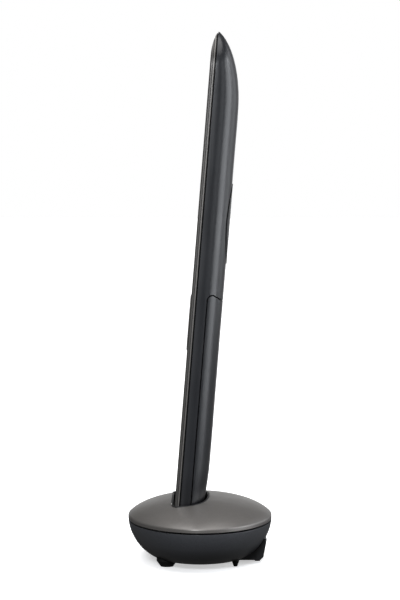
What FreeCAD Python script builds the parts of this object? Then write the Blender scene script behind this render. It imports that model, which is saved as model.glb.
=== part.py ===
"""Slim cordless handset standing in its oval charging base, as separate pieces.

Row frame: millimetres, +Z up, the phone's front faces -Y, origin on the table under the middle of the base.
Handset frame: x across, y from the front face (0) to the back, z from the bottom end (0) to the tip.
The handset leans back in the base, so its own frame is turned about X by LEAN_DEG and moved to SEAT.
"""

import FreeCAD
import Part
import math
import os

V = FreeCAD.Vector

# ---------------------------------------------------------------- driving dimensions: handset
LENGTH = 168.2          # bottom end to tip, along the handset
HALF_WIDTH = 21.0
THICKNESS = 10.6
LEAN_DEG = 4.6
SEAT = V(0, -9.3, 8.0)  # bottom front edge of the handset, in the row frame

FRONT_SIDE = 0.85       # height of the front shell's side wall
TRIM_FRONT = 1.0        # the trim ring lies between these two planes
TRIM_BACK = 1.45
SEAM = 1.95             # front plane of the rear casing
TIP_Y = 2.0             # depth of the tip behind the front plane
TIP_START = 9.0         # the front face starts to curve back this far below the tip
TIP_CORNER = 14.0       # the outline starts to narrow this far below the tip
TIP_POWER = 2.5         # squareness of the outline's top
BOTTOM_CORNER = 6.0
BACK_CENTRE = 26.3      # centre of the back's elliptic top, below the tip
BACK_ORIGIN = -1.8      # depth of that centre
BACK_POWER = 2.8        # squareness of the D-shaped cross-section
TAIL_START = 27.0       # the back tapers in below this height, on a large arc
TAIL_RADIUS = 120.0
SKIN = 1.2              # wall of the rear casing and battery cover

FASCIA_FRONT = 0.3
FASCIA_BACK = 1.1
FASCIA_HALF = 19.25
FASCIA_BOTTOM = 3.2
FASCIA_TOP = 160.8
FIT = 0.15              # assembly gap between fixed pieces

# ---------------------------------------------------------------- driving dimensions: keys
KEY_TRAVEL = 0.4
KEY_FRONT = 0.12
KEY_GAP = 0.2           # between a key and its hole in the fascia
FLANGE_FRONT = 1.3
FLANGE_BACK = 1.65
FLANGE_REACH = 0.45
DIAL_PITCH_X = 12.0
DIAL_PITCH_Z = 9.8
DIAL_TOP_Z = 53.6       # centre of the row 1 2 3
DIAL_SIZE = (10.6, 7.8, 1.8)
CALL_SIZE = (5.6, 13.0, 2.7)
CALL_X = 14.9
SOFT_SIZE = (9.6, 4.6, 1.6)
SOFT_X = 12.4
SOFT_Z = 86.6
NAV_Z = 71.1
NAV_RADIUS = 9.5
NAV_HOLE = 4.8
NAV_FRONT = -0.27       # the ring's rim stands proud of the front plane
NAV_DISH = 0.3          # its inner edge lies this much deeper
CENTRE_RADIUS = 4.5

# ---------------------------------------------------------------- driving dimensions: inside the handset
BOARD_FRONT = 3.1
BOARD_BACK = 3.9
MAT_FRONT = 2.15
MAT_BACK = 2.65
TRAY_FRONT = 4.2
TRAY_BACK = 4.8
WINDOW_HALF = 17.2
WINDOW_BOTTOM = 92.5
WINDOW_TOP = 151.2
DISC_Z = 105.0          # round loudspeaker cover on the back
DISC_RADIUS = 13.4
DISC_GAP = 0.9          # moat round the cover
DISC_PROUD = 0.2
COVER_SIDE = 5.5        # the battery cover's edge on the handset's side
COVER_TOP = 81.2
COVER_DIP = 1.9         # its top edge is this much lower in the middle of the back
COVER_BOTTOM = 12.5
COVER_CORNER = 1.6
COVER_GAP = 0.4
RAIL_THICKNESS = 0.5    # rails behind the cover's side seams
RAIL_DEPTH = 0.9        # they reach this far past the seam
HINGE_Y = 8.7           # the cover tips out about its bottom lugs
HINGE_Z = 12.0
TRAY_BOTTOM = 9.1
HINGE_RADIUS = 0.5
SCREW_X = 16.6
SCREW_Z = (17.8, 77.4)
BATTERY_HALF = 13.0
EAR_Z = 155.8
MIC_Z = 7.0
PAD_X = 7.0             # charging pads and contacts
PAD_Y = 4.7

# ---------------------------------------------------------------- driving dimensions: base
BASE_DEPTH_HALF = 23.93
BASE_WIDTH_HALF = 44.0
STRETCH = BASE_WIDTH_HALF / BASE_DEPTH_HALF
RIM_Z = 13.6            # middle of the gap between top cover and bowl
RIM_GAP = 0.3           # half of that gap
DOME_MAJOR = 25.41      # the dome is part of an ellipsoid
DOME_MINOR = 9.5
DOME_Z = RIM_Z - 1.69
RIM_ROUND = 0.8
BOWL_ARC = 14.9         # the bowl's side is one arc, about this centre
BOWL_ARC_R = 9.11
BOWL_ARC_Z = RIM_Z + 1.506
FLOOR_Z = 1.9           # underside of the base plate
PLATE_TOP = 3.1
WALL = 1.3
PLATE_HALF = (28.5, 9.5)

WELL_SIDE_GAP = 1.6     # between the handset and its well
WELL_FRONT_GAP = 0.45
WELL_BACK_GAP = 0.8     # the battery cover tips out into this gap
WELL_CORNER = (5.0, 1.6)         # the front corners are rounded this far across and this far back
WELL_WALL = 0.55
WELL_FLOOR = -1.0       # in the handset frame
WELL_UNDER = -1.7
LIP_LIFT = 0.05         # the well's rim follows the dome, lifted and shifted forward
LIP_SHIFT = -1.6

HOUSING_HALF = 14.0     # block under the back of the bowl that holds the sockets
HOUSING_Z = 1.2
HOUSING_FLOOR = 0.45
SOCKET_Y = 20.7
POWER_SOCKET = (6.6, 4.75, 6.6, 4.8)     # x, z, width and height of each socket's mouth
LINE_SOCKET = (-6.2, 5.6, 9.9, 6.6)
SOCKET_WALL = 0.6
CONTACT_PIVOT = (0.75, -2.75)            # y, z of a charging contact's root, in the handset frame
LEAF = 0.25
FOOT_FRONT = (20.0, -10.8)
FOOT_REAR = (20.0, 11.6)
BASE_SCREWS = ((25.4, -0.6), (-25.4, -0.6), (15.4, 5.6), (-15.4, 5.6))
PAGE_Z = 8.4

LEANING = FreeCAD.Placement(SEAT, FreeCAD.Rotation(V(1, 0, 0), -LEAN_DEG))


# ---------------------------------------------------------------- shared helpers
def leaned(shape):
    """A shape of the handset frame, placed in the row frame."""
    placed = shape.copy()
    placed.Placement = LEANING.multiply(placed.Placement)
    return placed


def box(low, high):
    size = V(*high) - V(*low)
    return Part.makeBox(size.x, size.y, size.z, V(*low))


def pin_y(x, z, radius, front, back):
    """A cylinder along the handset's thickness."""
    return Part.makeCylinder(radius, back - front, V(x, front, z), V(0, 1, 0))


def post_z(x, y, radius, low, high):
    return Part.makeCylinder(radius, high - low, V(x, y, low))


def fused(shapes):
    whole = shapes[0]
    if len(shapes) > 1:
        whole = whole.fuse(shapes[1:])
    return whole.removeSplitter()


def plate_xz(width, height, radius, x, z, front, back):
    """A rounded rectangle centred on (x, z), from front to back in y."""
    w, h, r = width / 2, height / 2, radius
    k = r * (1 - math.sqrt(0.5))
    at = lambda u, v: V(x + u, front, z + v)
    edges = [
        Part.LineSegment(at(-w + r, -h), at(w - r, -h)),
        Part.Arc(at(w - r, -h), at(w - k, -h + k), at(w, -h + r)),
        Part.LineSegment(at(w, -h + r), at(w, h - r)),
        Part.Arc(at(w, h - r), at(w - k, h - k), at(w - r, h)),
        Part.LineSegment(at(w - r, h), at(-w + r, h)),
        Part.Arc(at(-w + r, h), at(-w + k, h - k), at(-w, h - r)),
        Part.LineSegment(at(-w, h - r), at(-w, -h + r)),
        Part.Arc(at(-w, -h + r), at(-w + k, -h + k), at(-w + r, -h)),
    ]
    wire = Part.Wire([e.toShape() for e in edges])
    return Part.Face(wire).extrude(V(0, back - front, 0))


def rounded_front(shape, front, radius):
    """The shape with the edges of its front face rounded."""
    edges = [e for e in shape.Edges if all(abs(v.Point.y - front) < 1e-6 for v in e.Vertexes)]
    return shape.makeFillet(radius, edges)


def profile_yz(points, half):
    """A closed polygon of (y, z) points, across x from -half to half."""
    wire = Part.makePolygon([V(-half, y, z) for y, z in points + points[:1]])
    return Part.Face(wire).extrude(V(2 * half, 0, 0))


def bent(poles):
    """A soft corner between the first and the last of three points."""
    curve = Part.BezierCurve()
    curve.setPoles(poles)
    return curve.toShape()


def smooth(points, start, end):
    curve = Part.BSplineCurve()
    curve.interpolate(Points=points, InitialTangent=start, FinalTangent=end)
    return curve.toShape()


# ---------------------------------------------------------------- handset: outer form
def half_width(z):
    """Half of the handset's width at height z: it narrows only near the tip."""
    share = max(0.0, (z - (LENGTH - TIP_CORNER)) / TIP_CORNER)
    return HALF_WIDTH * (1 - share**TIP_POWER) ** (1 / TIP_POWER)


def back_y(z):
    """Depth of the back at height z: a tapered tail, a straight middle and an elliptic top."""
    if z < TAIL_START:
        return THICKNESS - (TAIL_START - z) ** 2 / (2 * TAIL_RADIUS)
    rise = z - (LENGTH - BACK_CENTRE)
    if rise < 0:
        return THICKNESS
    semi_y = THICKNESS - BACK_ORIGIN
    tip_share = (TIP_Y - BACK_ORIGIN) / semi_y
    semi_z = BACK_CENTRE / math.sqrt(1 - tip_share**2)
    return BACK_ORIGIN + semi_y * math.sqrt(1 - (rise / semi_z) ** 2)


def superellipse(across, deep, power, steps):
    """Points (u, v) of the upper half of a superellipse, evenly spread in angle, from +u to -u."""
    points = []
    for i in range(steps + 1):
        a = math.pi * i / steps
        c, s = math.cos(a), math.sin(a)
        r = (abs(c) ** power + abs(s) ** power) ** (-1 / power)
        points.append((across * r * c, deep * r * s if 0 < i < steps else 0.0))
    return points


def outline_wire(inset, y):
    """The handset's front outline, moved in by inset, at depth y."""
    w, low, r = HALF_WIDTH - inset, inset, BOTTOM_CORNER - inset
    shoulder = LENGTH - TIP_CORNER
    rise = TIP_CORNER - inset
    k = r * (1 - math.sqrt(0.5))
    top = [V(x, y, shoulder + v) for x, v in superellipse(w, rise, TIP_POWER, 24)]
    edges = [
        Part.LineSegment(V(-w + r, y, low), V(w - r, y, low)).toShape(),
        Part.Arc(V(w - r, y, low), V(w - k, y, low + k), V(w, y, low + r)).toShape(),
        Part.LineSegment(V(w, y, low + r), V(w, y, shoulder)).toShape(),
        smooth(top, V(0, 0, 1), V(0, 0, -1)),
        Part.LineSegment(V(-w, y, shoulder), V(-w, y, low + r)).toShape(),
        Part.Arc(V(-w, y, low + r), V(-w + k, y, low + k), V(-w + r, y, low)).toShape(),
    ]
    return Part.Wire(edges)


def outline_plate(inset, front, back):
    return Part.Face(outline_wire(inset, front)).extrude(V(0, back - front, 0))


def behind_front():
    """Everything behind the front face, which curves back to the tip."""
    start = LENGTH - TIP_START
    radius = (TIP_START**2 + TIP_Y**2) / (2 * TIP_Y)
    arc_y = lambda z: radius - math.sqrt(radius**2 - (z - start) ** 2)
    middle = LENGTH - TIP_START / 2
    reach, deep = HALF_WIDTH + 5, THICKNESS + 5
    at = lambda y, z: V(-reach, y, z)
    edges = [
        Part.LineSegment(at(0, -5), at(0, start)),
        Part.Arc(at(0, start), at(arc_y(middle), middle), at(TIP_Y, LENGTH)),
        Part.LineSegment(at(TIP_Y, LENGTH), at(deep, LENGTH)),
        Part.LineSegment(at(deep, LENGTH), at(deep, -5)),
        Part.LineSegment(at(deep, -5), at(0, -5)),
    ]
    wire = Part.Wire([e.toShape() for e in edges])
    return Part.Face(wire).extrude(V(2 * reach, 0, 0))


def d_body(inset, base, low, high):
    """The handset's body behind depth base, moved in by inset, between two heights.

    The side and back are one surface through D-shaped superellipses; flat faces close it.
    """
    below_tip = [21.5, 17.5, 14.0, 11.5, 9.3, 7.4, 5.8, 4.4, 3.2, 2.2, 1.4, 0.8]
    heights = [6.0, 12.0, 18.0, 23.0, TAIL_START, 45.0, 80.0, 115.0, 132.0, LENGTH - BACK_CENTRE]
    heights += [LENGTH - t for t in below_tip]
    heights = [low] + [z for z in heights if low + 1.0 < z < high - 0.3] + [high]
    grid = []
    for z in heights:
        curve = superellipse(half_width(z) - inset, back_y(z) - inset - base, BACK_POWER, 28)
        grid.append([V(x, base + y, z) for x, y in curve])
    return closed_body(grid)


def closed_body(grid):
    """A solid from rows of points: one smooth surface, closed by a flat front, bottom and top."""
    surface = Part.BSplineSurface()
    surface.interpolate(grid)
    side = surface.toShape()
    edges = side.Edges
    low, high = grid[0], grid[-1]
    flat = lambda ends: [e for e in edges if all(any(v.Point.isEqual(p, 1e-6) for p in ends) for v in e.Vertexes)]
    line = lambda a, b: Part.LineSegment(a, b).toShape()
    low_line, high_line = line(low[0], low[-1]), line(high[0], high[-1])
    right, left = flat((low[0], high[0])), flat((low[-1], high[-1]))
    faces = [
        side,
        Part.Face(Part.Wire(Part.__sortEdges__(right + left + [low_line, high_line]))),
        Part.Face(Part.Wire(Part.__sortEdges__(flat((low[0], low[-1])) + [low_line]))),
        Part.Face(Part.Wire(Part.__sortEdges__(flat((high[0], high[-1])) + [high_line]))),
    ]
    shell = Part.Shell(faces)
    shell.sewShape()
    solid = Part.Solid(shell)
    if solid.Volume < 0:
        solid.reverse()
    return solid


def corner_cutters(inset):
    """What is cut off to round the two bottom corners of a body moved in by inset."""
    cutters = []
    centre_x, reach = HALF_WIDTH - BOTTOM_CORNER, HALF_WIDTH + 1
    for low_x, high_x in ((-reach, -centre_x), (centre_x, reach)):
        block = box((low_x, -1, -1), (high_x, THICKNESS + 2, BOTTOM_CORNER))
        x = math.copysign(centre_x, low_x)
        cutters.append(block.cut(pin_y(x, BOTTOM_CORNER, BOTTOM_CORNER - inset, -2, THICKNESS + 3)))
    return cutters


def cover_region(grow):
    """Side profile of the battery cover: rounded at its upper side corner, dipping to the back."""
    side, top, bottom = COVER_SIDE - grow, COVER_TOP + grow, COVER_BOTTOM - grow
    r = COVER_CORNER + grow
    k = r * (1 - math.sqrt(0.5))
    slope = COVER_DIP / (THICKNESS - side - r)
    deep = THICKNESS + 2
    low_back = top - slope * (deep - side - r)
    reach = HALF_WIDTH + 2
    at = lambda y, z: V(-reach, y, z)
    edges = [
        Part.LineSegment(at(side, bottom), at(side, top - r)),
        Part.Arc(at(side, top - r), at(side + k, top - k), at(side + r, top)),
        Part.LineSegment(at(side + r, top), at(deep, low_back)),
        Part.LineSegment(at(deep, low_back), at(deep, bottom)),
        Part.LineSegment(at(deep, bottom), at(side, bottom)),
    ]
    wire = Part.Wire([e.toShape() for e in edges])
    return Part.Face(wire).extrude(V(2 * reach, 0, 0))


# ---------------------------------------------------------------- handset: casings
def casing_skin():
    """The handset's back as a solid, and the room inside its walls."""
    outer = d_body(0, SEAM, 0.0, LENGTH - 0.35).cut(corner_cutters(0))
    room = d_body(SKIN, SEAM - 0.6, 1.4, LENGTH - 5.0).cut(corner_cutters(SKIN))
    return outer, room


def hinge_lugs(radius, low_x, high_x):
    """Round lugs on the cover's hinge line, one each side of the middle."""
    return [
        Part.makeCylinder(radius, high_x - low_x, V(x, HINGE_Y, HINGE_Z), V(1, 0, 0))
        for x in (low_x, -high_x)
    ]


def cover_rails():
    """Two rails just inside the battery cover's side seams, standing on the tray, clear of its screws."""
    gap = 0.15
    outside = d_body(SKIN + gap, SEAM - 0.6, 1.4, LENGTH - 5.0)
    inside = d_body(SKIN + gap + RAIL_THICKNESS, SEAM - 0.6, 1.4, LENGTH - 5.0)
    wide = HALF_WIDTH + 1
    low, high = TRAY_BOTTOM + 1.5, COVER_TOP + 1.2
    reach = box((-wide, TRAY_FRONT + 0.3, low), (wide, COVER_SIDE + RAIL_DEPTH, high))
    screws = [pin_y(s * SCREW_X, z, 1.45, TRAY_BACK, 8) for s in (-1, 1) for z in SCREW_Z]
    return outside.cut(inside).common(reach).cut(screws)


def tip_tongue():
    """A narrow tongue along the casing's top edge that fills the seam behind the trim ring at the tip."""
    ring = outline_plate(0.55, TRIM_BACK + 0.05, SEAM + 0.15).cut(outline_plate(1.15, -1, 4))
    return ring.common(box((-30, -1, LENGTH - 7.5), (30, 4, LENGTH + 1))).common(behind_front())


def rear_casing(outer, room):
    """Rear shell with the battery tray, its end walls, screw seats and the speaker cover's ledge."""
    skin = outer.cut(room).cut([cover_region(COVER_GAP), pin_y(0, DISC_Z, DISC_RADIUS + DISC_GAP, 6, 13)])
    ring = pin_y(0, DISC_Z, DISC_RADIUS + DISC_GAP + 1.2, 5, 12).cut(pin_y(0, DISC_Z, DISC_RADIUS - 1.5, 4, 13))
    ledge = room.common(ring).cut(d_body(SKIN + 0.9, SEAM - 0.6, 60.0, 130.0))
    wide = HALF_WIDTH + 1
    floor = box((-wide, TRAY_FRONT, TRAY_BOTTOM), (wide, TRAY_BACK, COVER_TOP + 1.6))
    top_wall = box((-wide, TRAY_BACK, COVER_TOP + 0.5), (wide, 12, COVER_TOP + 1.6))
    low_wall = box((-wide, TRAY_BACK, TRAY_BOTTOM), (wide, 12, COVER_BOTTOM - 0.4))
    tray = fused([floor, top_wall, low_wall]).common(room)
    tray = fused([tray, cover_rails()])
    holes = [pin_y(s * SCREW_X, z, 0.9, 4, 6) for s in (-1, 1) for z in SCREW_Z]
    holes += hinge_lugs(HINGE_RADIUS + 0.08, 4.6, 10.4)
    holes += [pad_block(s, 0.05, 0.6) for s in (-1, 1)]
    holes.append(box((-5.4, TRAY_FRONT - 1, 75.8), (5.4, TRAY_BACK + 1, 77.0)))
    return fused([skin, ledge, tray, tip_tongue()]).cut(holes)


def speaker_cover(outer):
    """Round cover over the loudspeaker, a little proud of the back, drilled in a hexagonal pattern."""
    seat = d_body(SKIN - 0.1, SEAM - 0.6, 60.0, 130.0)
    skin = outer.copy()
    skin.translate(V(0, DISC_PROUD, 0))
    disc = skin.common(pin_y(0, DISC_Z, DISC_RADIUS, 6, 13)).cut(seat)
    pitch, hole, reach = 2.1, 0.55, 9.2
    drills = []
    for row in range(-5, 6):
        for col in range(-6, 7):
            x = pitch * (col + 0.5 * (row % 2))
            z = pitch * row * math.sqrt(3) / 2
            if math.hypot(x, z) < reach:
                drills.append(pin_y(x, DISC_Z + z, hole, 6, 13))
    return disc.cut(drills)


def battery_cover(outer, room):
    """The battery door, with lugs at its lower edge that it tips on."""
    cover = outer.cut(room).common(cover_region(0))
    webs = [
        box((min(a, b), HINGE_Y - 0.4, HINGE_Z), (max(a, b), HINGE_Y + 0.4, COVER_BOTTOM + 1.0))
        for a, b in ((5.0, 10.0), (-5.0, -10.0))
    ]
    return fused([cover] + webs + hinge_lugs(HINGE_RADIUS, 5.0, 10.0))


def front_shell():
    """Metal-look front shell: bevelled rim, curved top, and a skirt that reaches into the casing."""
    bevel = [(0.45, 0.0), (0.26, 0.06), (0.12, 0.18), (0.0, 0.45)]
    wires = [outline_wire(inset, y) for inset, y in bevel]
    rim = Part.makeLoft(wires, True, True).fuse(outline_plate(0, 0.45, FRONT_SIDE))
    opening = fascia_blank(FIT, -1, FRONT_SIDE + 1)
    rim = rim.removeSplitter().cut(opening)
    skirt = outline_plate(1.35, FRONT_SIDE - 0.1, 2.8).cut(outline_plate(2.5, -1, 4))
    skirt = skirt.cut(box((-30, TRIM_BACK + 0.05, LENGTH - 6.6), (30, 4, LENGTH + 1)))
    skirt = skirt.cut(box((-30, TRIM_BACK + 0.05, 0), (30, 4, 2.6)))
    skirt = skirt.cut(fascia_blank(FIT, -1, FASCIA_BACK + 0.05))
    bosses = []
    for s in (-1, 1):
        for z in SCREW_Z:
            bosses.append(pin_y(s * SCREW_X, z, 1.6, 2.15, TRAY_FRONT - 0.05))
            bosses.append(box((min(s * SCREW_X, s * 18.8), 2.15, z - 1.2), (max(s * SCREW_X, s * 18.8), 2.8, z + 1.2)))
    shell = rim.fuse([skirt] + bosses)
    shell = shell.cut([pin_y(s * SCREW_X, z, 0.72, 2.4, 5) for s in (-1, 1) for z in SCREW_Z])
    return shell.common(behind_front()).removeSplitter()


def trim_ring():
    ring = outline_plate(0, TRIM_FRONT, TRIM_BACK).cut(outline_plate(1.25, 0, 4))
    return ring.common(behind_front())


# ---------------------------------------------------------------- handset: front panel and keys
def fascia_blank(grow, front, back):
    """The fascia's outline, enlarged by grow."""
    height = FASCIA_TOP - FASCIA_BOTTOM
    middle = (FASCIA_TOP + FASCIA_BOTTOM) / 2
    return plate_xz(2 * (FASCIA_HALF + grow), height + 2 * grow, 6.0 + grow, 0, middle, front, back)


def window_plate(grow, front, back):
    height = WINDOW_TOP - WINDOW_BOTTOM
    middle = (WINDOW_TOP + WINDOW_BOTTOM) / 2
    return plate_xz(2 * (WINDOW_HALF + grow), height + 2 * grow, max(0.3, 2.0 + grow), 0, middle, front, back)


def key_places():
    """Each rectangular key: name, centre x, centre z, (width, height, corner radius)."""
    dial = ["key_1", "key_2", "key_3", "key_4", "key_5", "key_6"]
    dial += ["key_7", "key_8", "key_9", "key_star", "key_0", "key_hash"]
    places = []
    for i, name in enumerate(dial):
        column, row = i % 3 - 1, i // 3
        places.append((name, column * DIAL_PITCH_X, DIAL_TOP_Z - row * DIAL_PITCH_Z, DIAL_SIZE))
    places.append(("key_talk", -CALL_X, NAV_Z, CALL_SIZE))
    places.append(("key_end", CALL_X, NAV_Z, CALL_SIZE))
    places.append(("key_soft_left", -SOFT_X, SOFT_Z, SOFT_SIZE))
    places.append(("key_soft_right", SOFT_X, SOFT_Z, SOFT_SIZE))
    return places


def key(x, z, size):
    width, height, radius = size
    cap = rounded_front(plate_xz(width, height, radius, x, z, KEY_FRONT, FLANGE_BACK), KEY_FRONT, 0.28)
    reach = 2 * FLANGE_REACH
    flange = plate_xz(width + reach, height + reach, radius, x, z, FLANGE_FRONT, FLANGE_BACK)
    return fused([cap, flange])


def fascia():
    plate = fascia_blank(0, FASCIA_FRONT, FASCIA_BACK)
    openings = [window_plate(0.1, -1, 3), pin_y(0, NAV_Z, NAV_RADIUS + 0.25, -1, 3)]
    for _, x, z, (width, height, radius) in key_places():
        gap = 2 * KEY_GAP
        openings.append(plate_xz(width + gap, height + gap, radius + KEY_GAP, x, z, -1, 3))
    openings.append(plate_xz(11.0, 1.6, 0.79, 0, EAR_Z, -1, 3))
    openings.append(pin_y(0, MIC_Z, 0.5, -1, 3))
    return rounded_front(plate, FASCIA_FRONT, 0.12).cut(openings)


def nav_ring():
    """Dished ring of the five-way control, with a flange behind the fascia."""
    points = [
        (NAV_HOLE, 1.5), (NAV_HOLE, NAV_FRONT + NAV_DISH + 0.12), (NAV_HOLE + 0.3, NAV_FRONT + NAV_DISH),
        (NAV_RADIUS - 1.3, NAV_FRONT + 0.05), (NAV_RADIUS - 0.7, NAV_FRONT), (NAV_RADIUS - 0.25, NAV_FRONT + 0.1),
        (NAV_RADIUS, NAV_FRONT + 0.4), (NAV_RADIUS, 1.75), (10.2, 1.75), (10.2, 2.05), (8.2, 2.05), (8.2, 1.5),
    ]
    wire = Part.makePolygon([V(r, y, 0) for r, y in points + points[:1]])
    ring = Part.Face(wire).revolve(V(0, 0, 0), V(0, 1, 0), 360)
    ring.translate(V(0, 0, NAV_Z))
    return ring


def nav_carrier():
    ring = pin_y(0, NAV_Z, 8.0, 2.15, 2.5).cut(pin_y(0, NAV_Z, 5.7, 2, 3))
    nubs = []
    for quarter in range(4):
        a = math.pi / 2 * quarter
        nubs.append(pin_y(6.85 * math.cos(a), NAV_Z + 6.85 * math.sin(a), 0.7, 2.4, 2.62))
    return fused([ring] + nubs)


def nav_centre_key():
    cap = rounded_front(pin_y(0, NAV_Z, CENTRE_RADIUS, 0.05, 2.15), 0.05, 0.3)
    return fused([cap, pin_y(0, NAV_Z, 5.2, 1.85, 2.15)])


# ---------------------------------------------------------------- handset: inside
def screw_clearances(radius):
    return [pin_y(s * SCREW_X, z, radius, 0, 6) for s in (-1, 1) for z in SCREW_Z]


def board_plate(half, low, high, front, back):
    return plate_xz(2 * half, high - low, 2.0, 0, (low + high) / 2, front, back)


def main_board():
    return board_plate(17.6, 9.6, 151.0, BOARD_FRONT, BOARD_BACK).cut(screw_clearances(1.9))


def keypad_mat():
    mat = board_plate(17.8, 18.9, 91.0, MAT_FRONT, MAT_BACK)
    nubs = [pin_y(x, z, 1.1, MAT_BACK - 0.1, MAT_BACK + 0.12) for _, x, z, _ in key_places()]
    mat = mat.fuse(nubs)
    return mat.cut([pin_y(0, NAV_Z, 10.6, 1, 4)] + screw_clearances(1.9))


def dome_switches():
    """Snap domes on the board's front, one under each key and each end of the five-way control."""
    places = [(x, z) for _, x, z, _ in key_places()] + [(0, NAV_Z)]
    for quarter in range(4):
        a = math.pi / 2 * quarter
        places.append((6.85 * math.cos(a), NAV_Z + 6.85 * math.sin(a)))
    return Part.makeCompound([pin_y(x, z, 1.5, BOARD_FRONT - 0.16, BOARD_FRONT) for x, z in places])


def display_module():
    """LCD glass in its frame, on the board."""
    frame = plate_xz(33.0, 56.4, 1.0, 0, 121.9, 1.5, BOARD_FRONT - 0.05)
    return frame.cut(plate_xz(30.6, 51.0, 0.4, 0, 123.2, 0, 1.6))


def display_gasket():
    return window_plate(-0.3, 1.15, 1.45).cut(plate_xz(31.0, 52.0, 0.6, 0, 123.0, 0, 3))


def earpiece_mesh():
    return plate_xz(13.4, 3.6, 1.2, 0, EAR_Z, FASCIA_BACK + 0.03, FASCIA_BACK + 0.23)


def earpiece_receiver():
    body = plate_xz(15.0, 6.6, 2.6, 0, EAR_Z, 1.4, 3.8)
    return body.cut(plate_xz(11.0, 3.0, 1.2, 0, EAR_Z, 1, 1.75))


def loudspeaker():
    """Basket, rolled rim and magnet of the loudspeaker, facing the back."""
    points = [(0, 4.5), (6.2, 4.5), (6.2, 6.4), (9.0, 7.2), (9.9, 7.2), (9.9, 8.2), (8.6, 8.2), (8.2, 8.45),
              (7.2, 8.45), (6.8, 8.0), (3.2, 7.3), (2.4, 7.75), (0, 8.0)]
    wire = Part.makePolygon([V(r, y, 0) for r, y in points + points[:1]])
    body = Part.Face(wire).revolve(V(0, 0, 0), V(0, 1, 0), 360)
    body.translate(V(0, 0, DISC_Z))
    return body


def speaker_gasket():
    return pin_y(0, DISC_Z, 9.9, 8.2, 8.75).cut(pin_y(0, DISC_Z, 8.9, 8, 9))


def shield_cans():
    cans = [box((-13, BOARD_BACK, 121.5), (13, BOARD_BACK + 1.8, 145.0))]
    cans.append(box((-12, BOARD_BACK, 83.2), (12, BOARD_BACK + 1.4, 90.0)))
    rounded = [c.makeFillet(0.4, [e for e in c.Edges if e.CenterOfMass.y > BOARD_BACK + 1]) for c in cans]
    return Part.makeCompound(rounded)


def antenna():
    """Bent strip antenna in the head of the handset."""
    strip = plate_xz(22.0, 5.4, 1.4, 0, 154.6, 5.4, 5.7).cut(plate_xz(19.0, 2.4, 0.8, 1.6, 154.4, 5, 6))
    legs = [box((x, BOARD_BACK, 149.0), (x + 1.2, 5.5, 149.3)) for x in (-10.6, -6.6)]
    ties = [box((x, 5.4, 149.0), (x + 1.2, 5.7, 152.6)) for x in (-10.6, -6.6)]
    return fused([strip] + legs + ties)


def microphone():
    return pin_y(0, MIC_Z, 2.0, 1.5, 3.0)


def microphone_boot():
    boot = pin_y(0, MIC_Z, 2.7, 1.15, 3.0).cut([pin_y(0, MIC_Z, 2.02, 1.48, 4), pin_y(0, MIC_Z, 0.5, 0, 4)])
    return boot


def battery_pack():
    pack = box((-BATTERY_HALF, 4.95, 21.0), (BATTERY_HALF, 8.3, 74.2))
    return pack.makeFillet(1.1, [e for e in pack.Edges if e.Length > 20 and e.CenterOfMass.y > 6])


def battery_contacts():
    """Three sprung blades between the board and the pack's end, through a slot in the tray."""
    blades = []
    for x in (-3.6, 0, 3.6):
        foot = box((x - 0.6, BOARD_BACK, 76.0), (x + 0.6, 5.4, 76.3))
        arm = box((x - 0.6, 5.2, 74.5), (x + 0.6, 5.5, 76.3))
        tip = box((x - 0.6, 5.2, 74.25), (x + 0.6, 6.8, 74.55))
        blades.append(fused([foot, arm, tip]))
    return Part.makeCompound(blades)


def pad_block(side, grow, deep):
    x = side * PAD_X
    return box((x - 2.2 - grow, PAD_Y - 1.3 - grow, -grow), (x + 2.2 + grow, PAD_Y + 1.3 + grow, deep))


def charge_pads():
    return Part.makeCompound([pad_block(s, 0, 0.5) for s in (-1, 1)])


def handset_screws():
    screws = []
    for s in (-1, 1):
        for z in SCREW_Z:
            x = s * SCREW_X
            head = pin_y(x, z, 1.3, TRAY_BACK, TRAY_BACK + 0.8)
            recess = plate_xz(1.6, 0.4, 0.19, x, z, TRAY_BACK + 0.4, TRAY_BACK + 1)
            cross = plate_xz(0.4, 1.6, 0.19, x, z, TRAY_BACK + 0.4, TRAY_BACK + 1)
            screws.append(fused([head, pin_y(x, z, 0.7, 2.6, TRAY_BACK)]).cut([recess, cross]))
    return Part.makeCompound(screws)


# ---------------------------------------------------------------- base: outer form
def stretched(shape):
    """A round shape of the base, drawn out sideways into its oval."""
    matrix = FreeCAD.Matrix()
    matrix.scale(STRETCH, 1, 1)
    return shape.transformGeometry(matrix)


def turned(edges):
    wire = Part.Wire([e.toShape() for e in edges])
    return Part.Face(wire).revolve(V(0, 0, 0), V(0, 0, 1), 360)


def dome_body(inset, low, rounded):
    """The top cover's dome down to height low, moved in by inset, before it is stretched."""
    radius = BASE_DEPTH_HALF - inset
    centre = V(0, 0, DOME_Z - inset)
    ellipse = Part.Ellipse(centre + V(DOME_MAJOR, 0, 0), centre + V(0, 0, DOME_MINOR), centre)
    start = math.acos(radius / DOME_MAJOR)
    edge = V(radius, 0, centre.z + DOME_MINOR * math.sin(start))
    top = V(0, 0, centre.z + DOME_MINOR)
    body = turned([
        Part.ArcOfEllipse(ellipse, start, math.pi / 2),
        Part.LineSegment(top, V(0, 0, low)),
        Part.LineSegment(V(0, 0, low), V(radius, 0, low)),
        Part.LineSegment(V(radius, 0, low), edge),
    ])
    if rounded:
        rims = [e for e in body.Edges if e.Closed and abs(e.CenterOfMass.z - edge.z) < 0.01]
        body = body.makeFillet(RIM_ROUND, rims)
    return body


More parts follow.
